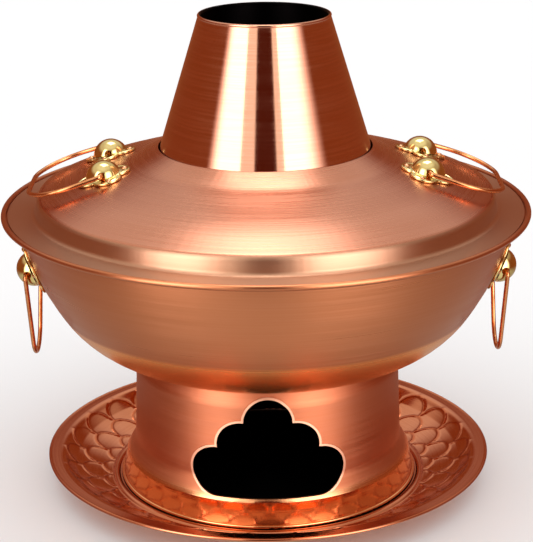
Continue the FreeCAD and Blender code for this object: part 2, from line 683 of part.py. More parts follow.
def hung(bail, mount, slope):
    """A bail turned down from level by slope and moved to the pivots on the +X side."""
    pivot = mount.turned_point(mount.pivot, mount.azimuth)
    copy = bail.copy()
    copy.rotate(ORIGIN, ACROSS, slope)
    copy.translate(V(pivot.x, 0, pivot.z))
    return copy


# The whole pot

os.makedirs("parts", exist_ok=True)

lid_probe = Part.makeLine(V(LID_KNOB_RADIUS, 0, 0), V(LID_KNOB_RADIUS, 0, LONG))
lid_mount = Mount(LID_SKIN, UP, lid_probe, LID_SHEET)
bowl_knob_z = BRIM_TOP_Z - BOWL_KNOB_DROP
bowl_probe = Part.makeLine(V(0, 0, bowl_knob_z), V(LONG, 0, bowl_knob_z))
bowl_mount = Mount(BOWL_SKIN, V(1, 0, 0), bowl_probe, BOWL_SHEET)

save("saucer", saucer())
save("stand", stand())
save("bowl", drilled(bowl(), bowl_mount))
save("fire_tube", fire_tube())
save("grate_ring", grate_ring())
save("charcoal_grate", charcoal_grate())
save("chimney", chimney())
save("chimney_spigot", chimney_spigot())
save("lid", drilled(lid(), lid_mount))
save("lid_skirt", lid_skirt())

for owner, mount in (("lid", lid_mount), ("bowl", bowl_mount)):
    one_plate = plate(mount)
    one_set = rivets(mount)
    for name, azimuth in mount.azimuths().items():
        save(owner + "_plate_" + name, turned(one_plate, azimuth))
        save(owner + "_knob_" + name, knob(mount, azimuth))
    sets = [turned(one_set, azimuth) for azimuth in mount.azimuths().values()]
    save(owner + "_rivets", Part.makeCompound([rivet for group in sets for rivet in group.Solids]))

for owner, mount, bail, slope in (("lid", lid_mount, lid_bail(), LID_BAIL_SLOPE),
                                  ("bowl", bowl_mount, bowl_bail(), 90.0)):
    right = hung(bail, mount, slope)
    save(owner + "_bail_right", right)
    save(owner + "_bail_left", turned(right, 180))

for owner, mount in (("lid", lid_mount), ("bowl", bowl_mount)):
    pivot = mount.turned_point(mount.pivot, mount.azimuth)
    print(owner, "pivot x", round(pivot.x, 3), "z", round(pivot.z, 3))
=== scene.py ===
# %% [markdown]
# # A charcoal hot pot of spun copper
# The pot is a stack of spun shells on one axis: saucer, stand, bowl, lid and chimney. Small cast
# and bent pieces, the knobs and the wire bails, hang on them. The solids come from the CAD frame,
# which also carries the motion. This lesson dresses them: it turns the four plain shells again as
# smooth surfaces, presses the fish scales into the saucer, gives every piece a finish made of
# nodes, and lights the whole like a still life.

# %% Load the frame
import math

import bpy
import numpy as np
from mathutils import Matrix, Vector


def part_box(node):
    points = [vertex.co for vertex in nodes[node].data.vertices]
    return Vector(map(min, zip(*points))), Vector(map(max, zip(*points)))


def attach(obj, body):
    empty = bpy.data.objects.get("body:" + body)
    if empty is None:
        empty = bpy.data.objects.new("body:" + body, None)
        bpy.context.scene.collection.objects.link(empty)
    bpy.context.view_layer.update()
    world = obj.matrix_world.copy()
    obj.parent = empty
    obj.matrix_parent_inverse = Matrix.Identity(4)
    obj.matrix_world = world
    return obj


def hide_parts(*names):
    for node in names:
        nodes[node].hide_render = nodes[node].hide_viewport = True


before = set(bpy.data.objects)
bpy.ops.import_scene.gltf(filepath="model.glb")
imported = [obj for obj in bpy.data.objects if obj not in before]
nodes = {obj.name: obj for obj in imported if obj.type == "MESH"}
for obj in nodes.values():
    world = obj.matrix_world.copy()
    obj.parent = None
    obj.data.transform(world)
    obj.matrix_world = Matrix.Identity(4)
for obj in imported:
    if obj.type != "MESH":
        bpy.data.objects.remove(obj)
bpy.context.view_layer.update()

# %% [markdown]
# ## Units
# Blender works in metres, and a coppersmith thinks in millimetres. Sizes below are written in
# millimetres and turned into metres where a mesh is made, so a number can be read off a ruler.

# %% Millimetres
MM = 0.001


def size_of(node):
    """The node's width, depth and height in millimetres, from its lowest and highest corners."""
    low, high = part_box(node)
    return (high - low) / MM


for node in ("saucer", "stand", "bowl", "lid", "chimney"):
    print(node, "measures", [round(v, 1) for v in size_of(node)], "mm")

# %% [markdown]
# ## The camera
# The pot is seen from a little above, about eighteen degrees, through a long lens, which keeps its
# ellipses flat and its sides nearly parallel. A camera in Blender looks down its own -Z, so it is
# tipped up by ninety degrees less the pitch. A very small roll matches a camera held by hand.

# %% Set up the camera
CAMERA_DISTANCE = 1053.09
CAMERA_HEIGHT = 477.0
CAMERA_PITCH = 18.162
CAMERA_ROLL = -0.5
LENS_LENGTH = 119.49
SENSOR_SIZE = 36.0

scene = bpy.context.scene
camera_data = bpy.data.cameras.new("camera")
camera_data.lens = LENS_LENGTH
camera_data.sensor_width = SENSOR_SIZE
camera = bpy.data.objects.new("camera", camera_data)
scene.collection.objects.link(camera)
tip = Matrix.Rotation(math.radians(90 - CAMERA_PITCH), 4, "X")
roll = Matrix.Rotation(math.radians(CAMERA_ROLL), 4, "Z")
place = Matrix.Translation((0, -CAMERA_DISTANCE * MM, CAMERA_HEIGHT * MM))
camera.matrix_world = place @ tip @ roll
scene.camera = camera
scene.view_settings.view_transform = "Standard"
print("camera at", tuple(round(v, 3) for v in camera.location))

# %% [markdown]
# ## Outlines for the lathe
# A spun shell is fully told by its outline: a path of radius and height that is swung round the
# axis. Sheet metal never turns a sharp corner, so each corner carries the radius of its fillet.
# Points are spread along the straight runs as well, because smooth shading blends from one row of
# points to the next and would otherwise bend light over a whole flat.
# An outline is walked outwards underneath and inwards on top, so the metal is always on its left.

# %% Outlines with rounded corners
EDGE = 0.25


def rounded(corners, run=2.0, turn=5.0):
    """Points along a path of (radius, height, fillet) corners, in millimetres. At each inner corner
    the fillet's arc leaves the first run one tangent length before the corner. Straight runs get a
    point at least every run millimetres and arcs one every turn degrees."""
    spots = [np.array(c[:2], float) for c in corners]
    path = [spots[0]]
    for before, here, after, corner in zip(spots, spots[1:], spots[2:], corners[1:]):
        come = (here - before) / np.linalg.norm(here - before)
        leave = (after - here) / np.linalg.norm(after - here)
        bend = math.atan2(come[0] * leave[1] - come[1] * leave[0], come @ leave)
        start = here - come * corner[2] * math.tan(abs(bend) / 2)
        side = math.copysign(1.0, bend)
        centre = start + side * corner[2] * np.array([-come[1], come[0]])
        count = max(2, math.ceil(abs(math.degrees(bend)) / turn) + 1)
        swing = np.linspace(0, bend, count)
        spoke = start - centre
        arc = centre + np.stack([spoke[0] * np.cos(swing) - spoke[1] * np.sin(swing),
                                 spoke[0] * np.sin(swing) + spoke[1] * np.cos(swing)], 1)
        path += straight(path[-1], arc[0], run) + list(arc)
    return np.array(path + straight(path[-1], spots[-1], run) + [spots[-1]])


def straight(first, last, run):
    """The points strictly between first and last, close to the ends and then every run."""
    length = np.linalg.norm(last - first)
    if length < 4 * EDGE:
        return []
    shares = np.linspace(EDGE / length, 1 - EDGE / length, max(2, math.ceil(length / run)))
    return [first + (last - first) * share for share in shares]


def beside(corners, distance):
    """The corners of the path that runs at a distance to the left. Each inner corner moves along
    the bisector of its two runs, and its fillet shrinks on the inside of the bend and grows on the
    outside."""
    spots = np.array([c[:2] for c in corners], float)
    along = np.diff(spots, axis=0)
    along /= np.linalg.norm(along, axis=1, keepdims=True)
    left = np.stack([-along[:, 1], along[:, 0]], 1)
    both = left[:-1] + left[1:]
    inner = distance * 2 * both / (both ** 2).sum(1, keepdims=True)
    moved = spots + np.concatenate([left[:1] * distance, inner, left[-1:] * distance])
    bend = along[:-1, 0] * along[1:, 1] - along[:-1, 1] * along[1:, 0]
    fillets = [0] + [max(EDGE, c[2] - distance * math.copysign(1, b))
                     for c, b in zip(corners[1:-1], bend)] + [0]
    return [(r, z, f) for (r, z), f in zip(moved, fillets)]


def rolled(radius, height, bead, start, end, count=22):
    """The rolled edge seen end on: points on a circle from angle start to angle end, in degrees."""
    angle = np.radians(np.linspace(start, end, count))
    return np.stack([radius + bead * np.cos(angle), height + bead * np.sin(angle)], 1)


square = rounded([(0, 0, 0), (5, 0, 2), (5, 5, 0)])
print("a square corner with a 2 mm fillet has", len(square), "points")

# %% [markdown]
# ## The lathe
# Swinging an outline round the axis fills a grid: one row per point of the outline and one column
# per step of the turn. Where the outline begins and ends on the axis its rows shrink to a point,
# so it is closed with a fan of triangles. Otherwise the last row joins the first and the shell is
# a closed ring. Both ways leave no open edge. The grid's column and row also give the UV map.

# %% Turn an outline into a mesh


def ring_mesh(name, grid, ends=None):
    """A closed mesh on a grid of rows that each run round a ring. Its quads join row i to row i + 1
    and column j to column j + 1. Without ends the last row joins the first. With two end points the
    first and last rows are closed by fans of triangles to them."""
    count, columns = grid.shape[:2]
    i = np.arange(count - 1 if ends is not None else count)[:, None]
    j = np.arange(columns)[None, :]
    corners = [(i, j), (i, j + 1), (i + 1, j + 1), (i + 1, j)]
    faces = np.stack([(a % count) * columns + b % columns for a, b in corners], 2)
    faces = faces.reshape(-1, 4).tolist()
    uv = [np.stack([np.stack([b / columns + 0 * a, a / count + 0 * b], 2) for a, b in corners], 2)]
    points = grid.reshape(-1, 3)
    if ends is not None:
        first = len(points)
        points = np.concatenate([points, ends])
        here, after = np.arange(columns), (np.arange(columns) + 1) % columns
        top = (count - 1) * columns
        faces += np.stack([here * 0 + first, after, here], 1).tolist()
        faces += np.stack([here * 0 + first + 1, top + here, top + after], 1).tolist()
        share, half = np.arange(columns) / columns, 0.5 / columns
        fans = [[(share + half, 0), (share + 2 * half, 0), (share, 0)],
                [(share + half, 1), (share, 1), (share + 2 * half, 1)]]
        uv += [np.stack([np.stack([u, v + 0 * u], 1) for u, v in fan], 1) for fan in fans]
    mesh = bpy.data.meshes.new(name)
    mesh.from_pydata(points.tolist(), [], faces)
    flat_uv = np.concatenate([part.reshape(-1, 2) for part in uv])
    mesh.uv_layers.new(name="turn").data.foreach_set("uv", flat_uv.ravel())
    mesh.polygons.foreach_set("use_smooth", np.ones(len(mesh.polygons), bool))
    piece = bpy.data.objects.new(name, mesh)
    scene.collection.objects.link(piece)
    return piece


def turn_shell(name, outline, columns=360, relief=0):
    """A closed shell of revolution. Row i and column j of the grid lie at
    (r cos a, r sin a, z), where (r, z) is the outline's point i and a is j steps of the full turn.
    relief moves each grid point outwards along the outline's normal, in millimetres."""
    poles = outline[0, 0] == 0
    rows = outline[1:-1] if poles else outline
    angle = np.linspace(0, 2 * np.pi, columns, endpoint=False)
    along = np.roll(rows, -1, 0) - np.roll(rows, 1, 0)
    if poles:
        along[0], along[-1] = rows[1] - rows[0], rows[-1] - rows[-2]
    along /= np.linalg.norm(along, axis=1, keepdims=True)
    radius = rows[:, :1] + along[:, 1:] * relief + 0 * angle
    height = rows[:, 1:] - along[:, :1] * relief + 0 * angle
    grid = np.stack([radius * np.cos(angle), radius * np.sin(angle), height], 2) * MM
    ends = np.stack([np.zeros(2), np.zeros(2), outline[[0, -1], 1] * MM], 1) if poles else None
    return ring_mesh(name, grid, ends)


def stand_in(shell, node, body, material):
    """Let the shell stand for the CAD node: it takes the node's place, body, slot and material."""
    shell.data.materials.append(material)
    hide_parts(node)
    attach(shell, body)
    print(shell.name, "has", len(shell.data.polygons), "faces and stands for", node)


print("lathe ready")

# %% [markdown]
# ## Node helpers
# A procedural material is a small graph. Writing it by hand is long, so short helpers do the
# repeated work: one adds a node and sets its fields, one does a sum on sockets or numbers, and one
# makes a soft-edged window, which is 1 inside a range and falls to 0 outside it.

# %% Helpers that build node graphs


def add_node(tree, kind, **fields):
    """A new node of that kind, with its fields set."""
    node = tree.nodes.new(kind)
    for field, value in fields.items():
        setattr(node, field, value)
    return node


def feed(tree, socket, value):
    """Link an output into the socket, or set the socket to a number or colour."""
    if isinstance(value, bpy.types.NodeSocket):
        tree.links.new(value, socket)
    else:
        socket.default_value = value


def sum_node(tree, operation, *values):
    """The result of a Math node on sockets and numbers."""
    node = add_node(tree, "ShaderNodeMath", operation=operation)
    for socket, value in zip(node.inputs, values):
        feed(tree, socket, value)
    return node.outputs[0]


def ramp(tree, value, start, end, low=0.0, high=1.0, shape="SMOOTHSTEP"):
    """A rise from low, where the value is start, to high, where it is end. It stays level outside."""
    node = add_node(tree, "ShaderNodeMapRange", interpolation_type=shape)
    for name, part in (("Value", value), ("From Min", start), ("From Max", end),
                       ("To Min", low), ("To Max", high)):
        feed(tree, node.inputs[name], part)
    return node.outputs[0]


def window(tree, value, low, high, soft_low, soft_high):
    """1 between low and high, falling smoothly to 0 over the soft widths outside them."""
    rise = ramp(tree, value, low - soft_low, low)
    fall = ramp(tree, value, high, high + soft_high, 1.0, 0.0)
    return sum_node(tree, "MULTIPLY", rise, fall)


def blend_colour(tree, share, first, second):
    """A mix of two colours by a share between 0 and 1."""
    node = add_node(tree, "ShaderNodeMix", data_type="RGBA", clamp_result=False)
    feed(tree, node.inputs[0], share)
    feed(tree, node.inputs[6], first)
    feed(tree, node.inputs[7], second)
    return node.outputs[2]


print("node helpers ready")

# %% [markdown]
# ## Where a point lies on a turned piece
# Everything on this pot runs round one axis, so a finish is easiest to describe by how far out a
# point is, how high it is and which way it faces. Object coordinates give x, y and z in metres, and
# the graph turns them into a radius, a height and a direction on the unit circle. The direction is
# used instead of the angle itself, because an angle jumps where the circle closes. A point is known
# to be on the inside of a shell when its radius is less than the shell's own at that height.

# %% Radius, height and direction from object coordinates
NOISE_DETAIL = 2.0
NEAR_AXIS = 1e-8            # added under the root, so that nothing is divided by zero on the axis


def turned_place(tree):
    """Sockets for Object coordinates, and for their z, their radius, which is the root of
    x^2 + y^2, and the direction's x and y, which are x and y over the radius."""
    place_node = add_node(tree, "ShaderNodeTexCoord")
    parts = add_node(tree, "ShaderNodeSeparateXYZ")
    tree.links.new(place_node.outputs["Object"], parts.inputs[0])
    x, y, z = parts.outputs
    square = sum_node(tree, "ADD", sum_node(tree, "MULTIPLY", x, x), sum_node(tree, "MULTIPLY", y, y))
    radius = sum_node(tree, "SQRT", sum_node(tree, "ADD", square, NEAR_AXIS))
    return {
        "object": place_node.outputs["Object"], "z": z, "radius": radius,
        "across": sum_node(tree, "DIVIDE", x, radius),
        "along": sum_node(tree, "DIVIDE", y, radius),
    }


def turned_noise(tree, place, scales, slope, roughness=0.5):
    """Noise drawn out round the axis. The two scales are how fast it changes along a turn, in
    cycles per radian, and from one turn to the next, in cycles per metre. The slope says how much
    of the radius counts beside the height, for pieces that lie flat."""
    round_scale, side_scale = scales
    side = sum_node(tree, "ADD", place["z"], sum_node(tree, "MULTIPLY", place["radius"], slope))
    joined = add_node(tree, "ShaderNodeCombineXYZ")
    feed(tree, joined.inputs[0], sum_node(tree, "MULTIPLY", place["across"], round_scale))
    feed(tree, joined.inputs[1], sum_node(tree, "MULTIPLY", place["along"], round_scale))
    feed(tree, joined.inputs[2], sum_node(tree, "MULTIPLY", side, side_scale))
    noise = add_node(tree, "ShaderNodeTexNoise")
    tree.links.new(joined.outputs[0], noise.inputs["Vector"])
    feed(tree, noise.inputs["Scale"], 1.0)
    feed(tree, noise.inputs["Detail"], NOISE_DETAIL)
    feed(tree, noise.inputs["Roughness"], roughness)
    return noise.outputs["Fac"]


def even_noise(tree, place, scale, detail):
    """Noise that is alike in every direction, for clouds, smears and soot."""
    noise = add_node(tree, "ShaderNodeTexNoise")
    tree.links.new(place["object"], noise.inputs["Vector"])
    feed(tree, noise.inputs["Scale"], scale)
    feed(tree, noise.inputs["Detail"], detail)
    return noise.outputs["Fac"]


def behind_skin(tree, place, corners):
    """How far the point lies behind the skin of a shell, in millimetres. The skin's radius at the
    point's height is found on straight runs between (radius, height) points given from below."""
    skin = corners[0][0]
    for (low_r, low_z), (high_r, high_z) in zip(corners, corners[1:]):
        part = ramp(tree, place["z"], low_z * MM, high_z * MM, 0.0, high_r - low_r, "LINEAR")
        skin = sum_node(tree, "ADD", part, skin)
    return sum_node(tree, "SUBTRACT", skin, sum_node(tree, "MULTIPLY", place["radius"], 1 / MM))


print("turned coordinates ready")

# %% [markdown]
# ## Brushed copper
# A spun shell is finished on the lathe with abrasive cloth, so its scratches run round the axis.
# Light spreads across the scratches and stays sharp along them, which draws highlights into fans
# and upright bands. An anisotropic metal does this, with its tangent taken round the axis and turned
# by a quarter. Fine lines in the bump and the roughness break the highlights up, a coarser noise
# round the axis draws the fans, and a weak noise varies the colour where the metal was handled.

# %% The brushed finish
# Near black: soot on the pieces in the fire, and painted shade inside the shells
SOOT_AND_SHADE_BLACK = (0.004, 0.003, 0.003, 1.0)
# A paler copper painted on the hole's proud edge as a highlight
PAINTED_EDGE_HIGHLIGHT = (0.88, 0.50, 0.32, 1.0)
FINE_LINES = (0.9, 1000.0)      # how fast each noise changes along a turn and from turn to turn
BROAD_LINES = (1.2, 150.0)
RAYS = (30.0, 6.0)
CLOUDS = (14.0, 3.0)            # scale and detail
LINE_SPREAD = (0.35, 0.65)      # the stretch of a noise's values over which each effect comes in
CLOUD_SPREAD = (0.35, 0.70)
SHEEN_SPREAD = (0.3, 0.7)
FINE_ROUGHNESS = 0.6
BROAD_HEIGHT = 0.8
DEEP_IN_LINES = 0.22
DEEP_IN_CLOUDS = 0.12
FINE_SHEEN = 0.03
BROAD_SHEEN = 0.02
# how much duller the metal is where shade is painted
PAINTED_SHADE_DULLING = 0.5
BRUSH_DEPTH = 0.2
QUARTER_TURN = 0.25


def new_material(name):
    """An empty material with a Principled shader, its tree and the shader node."""
    material = bpy.data.materials.new(name + "_finish")
    material.use_nodes = True
    tree = material.node_tree
    return material, tree, tree.nodes["Principled BSDF"]


def raise_bump(tree, shader, strength, depth, height):
    """Feed a bump of this strength and depth, in millimetres, to the shader's normal."""
    bump = add_node(tree, "ShaderNodeBump")
    feed(tree, bump.inputs["Strength"], strength)
    feed(tree, bump.inputs["Distance"], depth * MM)
    feed(tree, bump.inputs["Height"], height)
    feed(tree, shader.inputs["Normal"], bump.outputs[0])


def brushed_copper(name, colour, deep, rough, grain, fans=0.0, slope=0.0, lean=0.8,
                   second=None, second_rough=None, second_colour=None, painted_highlight=None, painted_shade=None):
    """Copper brushed round the axis. The colour goes towards deep in the scratches. rough is the
    roughness, grain the strength of the lines, fans that of the uneven sheen round the axis and
    lean how far light spreads across the lines rather than along them. second and the two masks after
    it, if given, take the tree and the place and return a 0 to 1 socket. Where second is 1 the metal
    has a second colour and roughness of its own. Where the first of the two masks is 1 the colour is
    a painted highlight, a paler copper, and where the last is 1 it is painted shade, near black and
    duller."""
    material, tree, shader = new_material(name)
    place = turned_place(tree)
    lines = turned_noise(tree, place, FINE_LINES, slope, FINE_ROUGHNESS)
    bands = turned_noise(tree, place, BROAD_LINES, slope)
    rays = turned_noise(tree, place, RAYS, slope)
    cloud = even_noise(tree, place, *CLOUDS)

    tone = blend_colour(tree, ramp(tree, lines, *LINE_SPREAD, DEEP_IN_LINES, 0.0), colour, deep)
    tone = blend_colour(tree, ramp(tree, cloud, *CLOUD_SPREAD, 0.0, DEEP_IN_CLOUDS), tone, deep)
    fine = ramp(tree, lines, *SHEEN_SPREAD, -FINE_SHEEN, FINE_SHEEN)
    broad = ramp(tree, bands, *SHEEN_SPREAD, -BROAD_SHEEN, BROAD_SHEEN)
    roughness = sum_node(tree, "ADD", sum_node(tree, "ADD", rough, fine), broad)
    height = sum_node(tree, "ADD", lines, sum_node(tree, "MULTIPLY", bands, BROAD_HEIGHT))
    height = sum_node(tree, "ADD", height, sum_node(tree, "MULTIPLY", rays, fans))
    if second:
        share = second(tree, place)
        tone = blend_colour(tree, share, tone, second_colour)
        keep = sum_node(tree, "SUBTRACT", 1.0, share)
        roughness = sum_node(tree, "ADD", sum_node(tree, "MULTIPLY", roughness, keep),
                             sum_node(tree, "MULTIPLY", share, second_rough))
    # A paler copper painted as a highlight where the first mask is 1.
    if painted_highlight:
        tone = blend_colour(tree, painted_highlight(tree, place), tone, PAINTED_EDGE_HIGHLIGHT)
    # Near black painted as shade where the last mask is 1, and duller there.
    if painted_shade:
        blackening = painted_shade(tree, place)
        tone = blend_colour(tree, blackening, tone, SOOT_AND_SHADE_BLACK)
        roughness = sum_node(tree, "ADD", roughness, sum_node(tree, "MULTIPLY", blackening, PAINTED_SHADE_DULLING))
    tangent = add_node(tree, "ShaderNodeTangent", direction_type="RADIAL", axis="Z")

    raise_bump(tree, shader, grain, BRUSH_DEPTH, height)
    feed(tree, shader.inputs["Base Color"], tone)
    feed(tree, shader.inputs["Metallic"], 1.0)
    feed(tree, shader.inputs["Roughness"], roughness)
    feed(tree, shader.inputs["Anisotropic"], lean)
    feed(tree, shader.inputs["Anisotropic Rotation"], QUARTER_TURN)
    feed(tree, shader.inputs["Tangent"], tangent.outputs[0])
    return material


def dress(node_names, material):
    """Give CAD nodes this material in their only slot."""
    for name in node_names:
        nodes[name].data.materials.clear()
        nodes[name].data.materials.append(material)
    print(material.name, "on", len(node_names), "node(s)")


print("brushed finish ready")

# %% [markdown]
# ## The lid
# The lid is the palest shell, with a pinkish satin that catches the light from above and behind.
# Its slope is gentle, so the lines are counted along the radius as well as the height. The brim and
# the upright step are left duller than the crown, because a brush that is held square to the crown
# hardly reaches them. The outline goes out along the underside, up the thin edge of the brim and
# back in over the crown.

# %% Turn and dress the lid
LID_TOP = [(64.6, 212.0, 0), (78.5, 204.9, 25), (116.0, 194.3, 120), (138.0, 184.6, 5),
           (140.0, 174.3, 3), (156.0, 174.3, 0)]
LID_SHEET = 1.0
LID_HOLE_UNDER = (64.6, 210.88, 0)
STEP_TOP = 184.9
STEP_FADE = 0.8


def below_crown(tree, place):
    """1 on the brim and the upright step of the lid, which are left duller than its crown."""
    return ramp(tree, place["z"], (STEP_TOP - STEP_FADE) * MM, STEP_TOP * MM, 1.0, 0.0)


lid_copper = brushed_copper("lid_copper", colour=(0.63, 0.270, 0.165, 1), deep=(0.50, 0.18, 0.09, 1),
                            rough=0.27, grain=0.22, fans=0.8, slope=1.0, lean=0.75,
                            second=below_crown, second_rough=0.38,
                            second_colour=(0.54, 0.29, 0.175, 1))
lid_under = [LID_HOLE_UNDER] + beside(LID_TOP, -LID_SHEET)[1:]
lid_ring = np.concatenate([rounded(lid_under), rounded(LID_TOP)[::-1]])
lid = turn_shell("lid_shell", lid_ring)
stand_in(lid, "lid", "lid", lid_copper)
dress(["lid_skirt"], lid_copper)

# %% [markdown]
# ## The bowl
# The wall of the bowl is brushed like the lid but redder. Below the belly the metal is polished,
# because it was turned against the tool there, and its colour is painted a brighter, deeper orange
# that stands for the copper saucer and stand it reflects: a painted reflection. Under its floor,
# inside the stand, it is painted black as shade. Its brim is rolled over a wire, which the outline
# follows for almost a full turn.

# %% Turn and dress the bowl
BOWL_UNDER = [(67.0, 84.5, 0), (79.0, 84.5, 3), (110.8, 88.5, 68), (143.5, 141.4, 143.5),
              (150.3, 171.8, 2), (157.6, 171.8, 0)]
BOWL_SHEET = 1.2
RIM_WIRE = (158.4, 174.0, 1.6, -120.0, 218.7)
BOWL_FLOOR = 84.5
STAND_NECK = 78.4
# Where black is painted as shade under the bowl's floor, inside the stand
FLOOR_SHADE_HEIGHTS = (0.3, 0.6)
NECK_SHADE_FADE = 1.5
# Below this the bowl is polished and painted a brighter orange as a reflection of the saucer and stand
BELLY_POLISH_AND_REFLECTION_TOP = 117.0
BELLY_POLISH_AND_REFLECTION_FADE = 4.0


def belly_polish_and_reflection(tree, place):
    """1 below the belly's turn, 0 above it. There the metal is smoother and its colour is a painted
    reflection, a brighter orange.
    """
    fade_from = BELLY_POLISH_AND_REFLECTION_TOP - BELLY_POLISH_AND_REFLECTION_FADE
    return ramp(tree, place["z"], fade_from * MM, BELLY_POLISH_AND_REFLECTION_TOP * MM, 1.0, 0.0)


def bowl_painted_shade(tree, place):
    """1 under the bowl's floor, where it closes the stand and is painted black as shade."""
    heights = [(BOWL_FLOOR + rise) * MM for rise in FLOOR_SHADE_HEIGHTS]
    under = ramp(tree, place["z"], *heights, 1.0, 0.0)
    inside = ramp(tree, place["radius"], (STAND_NECK - NECK_SHADE_FADE) * MM, STAND_NECK * MM, 1.0, 0.0)
    return sum_node(tree, "MULTIPLY", under, inside)


# Its second colour, below the belly, is a painted reflection of the copper beneath.
bowl_copper = brushed_copper("bowl_copper", colour=(0.60, 0.22, 0.10, 1), deep=(0.52, 0.15, 0.045, 1),
                             rough=0.32, grain=0.20, fans=0.8, slope=0.4,
                             second=belly_polish_and_reflection, second_rough=0.27,
                             second_colour=(1.0, 0.42, 0.13, 1), painted_shade=bowl_painted_shade)
bowl_inner = rounded(beside(BOWL_UNDER, BOWL_SHEET), run=3.0)[::-1]
bowl_ring = np.concatenate([rounded(BOWL_UNDER), rolled(*RIM_WIRE), bowl_inner])
bowl = turn_shell("bowl_shell", bowl_ring)
stand_in(bowl, "bowl", "pot", bowl_copper)

# %% [markdown]
# ## The stand
# The drum is brushed and its flared foot polished. Its inner face is painted black as shade, so the
# cloud-shaped hole reads as a dark shape. The hole's turned edge stands proud of the skin and is
# painted a paler copper as a highlight. The solid keeps its own mesh here, and the outline below only
# serves to tell its outer face, its inner face and the proud edge from one another.

# %% Dress the stand
STAND_CORNERS = [(91.9, 2.6, 0), (89.0, 17.0, 1.1), (83.4, 26.5, 8), (81.6, 75.0, 14), (78.4, 84.5, 0)]
STAND_SKIN = rounded(STAND_CORNERS, run=100.0, turn=8.0)
FOOT_POLISH_TOP = 16.0
FOOT_POLISH_FADE = 6.0
EDGE_PROUD = (-0.35, -0.15)
EDGE_HEIGHTS = (19.0, 21.0)
STAND_SHADE_DEPTH = (0.4, 0.7)


def foot_polish(tree, place):
    """1 on the flared foot, 0 on the drum."""
    fade_to = FOOT_POLISH_TOP + FOOT_POLISH_FADE
    return ramp(tree, place["z"], FOOT_POLISH_TOP * MM, fade_to * MM, 1.0, 0.0)


def hole_edge(tree, place):
    """1 on the raised edge of the hole, which stands proud of the drum's skin. There a paler colour is
    painted as a highlight.
    """
    proud = ramp(tree, behind_skin(tree, place, STAND_SKIN), *EDGE_PROUD, 1.0, 0.0)
    above_foot = ramp(tree, place["z"], *[height * MM for height in EDGE_HEIGHTS])
    return sum_node(tree, "MULTIPLY", proud, above_foot)


def stand_painted_shade(tree, place):
    """1 on the inner face of the drum, which is painted black as shade."""
    return ramp(tree, behind_skin(tree, place, STAND_SKIN), *STAND_SHADE_DEPTH)


stand_copper = brushed_copper("stand_copper", colour=(0.58, 0.20, 0.10, 1), deep=(0.50, 0.13, 0.04, 1),
                              rough=0.46, grain=0.20, fans=0.6, lean=0.25,
                              second=foot_polish, second_rough=0.10,
                              second_colour=(0.84, 0.38, 0.17, 1), painted_highlight=hole_edge,
                              painted_shade=stand_painted_shade)
dress(["stand"], stand_copper)

# %% [markdown]
# ## The chimney
# The cone is a paler copper than the lid, with plain brush lines round it. Its inner face is painted
# black as shade.

# %% Turn and dress the chimney
CONE_SKIN = [(63.6, 211.5, 0), (39.47, 289.70, 0)]
CONE_INNER = [(62.55, 211.5, 0), (38.50, 289.43, 0)]
CONE_WIRE = (38.75, 290.4, 1.0, -44.3, 255.7)
CONE_SHADE_DEPTH = (0.6, 0.9)


def cone_painted_shade(tree, place):
    """1 on the inner face of the cone, which is painted black as shade."""
    skin = [(r, z) for r, z, _ in CONE_SKIN]
    return ramp(tree, behind_skin(tree, place, skin), *CONE_SHADE_DEPTH)


cone_copper = brushed_copper("cone_copper", colour=(0.70, 0.34, 0.22, 1), deep=(0.50, 0.20, 0.10, 1),
                             rough=0.14, grain=0.10, lean=0.95, painted_shade=cone_painted_shade)
cone_ring = np.concatenate([rounded(CONE_SKIN), rolled(*CONE_WIRE), rounded(CONE_INNER)[::-1]])
cone = turn_shell("chimney_shell", cone_ring)
stand_in(cone, "chimney", "chimney", cone_copper)

# %% [markdown]
# ## Fish scales
# The dished flank of the saucer is pressed with rows of scales, tips outwards. Each scale is half an
# ellipse: as wide as its share of the turn and as long as one row. The tip of a scale touches the
# point where two scales of the next row meet, so every second row is shifted by half a scale.
# On paper the pattern is flat, with u counting scales round the turn and v counting rows outwards.
# The distance to the nearest ellipse raises a narrow ridge, and the distance from a scale's own
# centre lifts it towards its edge, which lets each scale seem to lie over the next.

# %% The scale pattern
SCALES = 30
SCALE_PHASE = 0.7
SCALE_ROW = 13.4
SCALE_FIRST_RADIUS = 105.0
RIDGE_HEIGHT = 0.48
RIDGE_WIDTH = 0.75
SCALE_LIFT = 0.35
TINY = 1e-6


def scale_field(u, v, half):
    """The height of the pattern in millimetres and the strength of its line, for u scales round
    and v rows out. half is half a scale's width there. In the row below, of and above the point,
    the ellipse's level g is the root of (x/half)^2 + (y/row)^2, and the distance to the ellipse is
    about |g - 1| over the slope of g."""
    def ellipse(row):
        x = u - 0.5 * row - 0.5
        x = np.abs(x - np.round(x)) * 2 * half
        y = (v - row) * SCALE_ROW
        rise = np.maximum(y, 0)
        g = np.sqrt((x / half) ** 2 + (rise / SCALE_ROW) ** 2) + TINY
        slope = np.sqrt((x / half ** 2) ** 2 + (rise / SCALE_ROW ** 2) ** 2) / g + TINY
        level = np.sqrt((x / half) ** 2 + (y / SCALE_ROW) ** 2)
        return g, level, np.hypot((g - 1) / slope, np.minimum(y, 0))

    row = np.floor(v)
    inner, own, outer = ellipse(row - 1), ellipse(row), ellipse(row + 1)
    line = np.exp(-(np.minimum(np.minimum(inner[2], own[2]), outer[2]) / RIDGE_WIDTH) ** 2)
    level = np.where(own[0] < 1, own[0], outer[1])
    return RIDGE_HEIGHT * line + SCALE_LIFT * np.clip(level, 0, 1) ** 2, line


scale_width = 2 * math.pi * SCALE_FIRST_RADIUS / SCALES
print("scale pattern ready,", SCALES, "scales of", round(scale_width, 1), "mm")

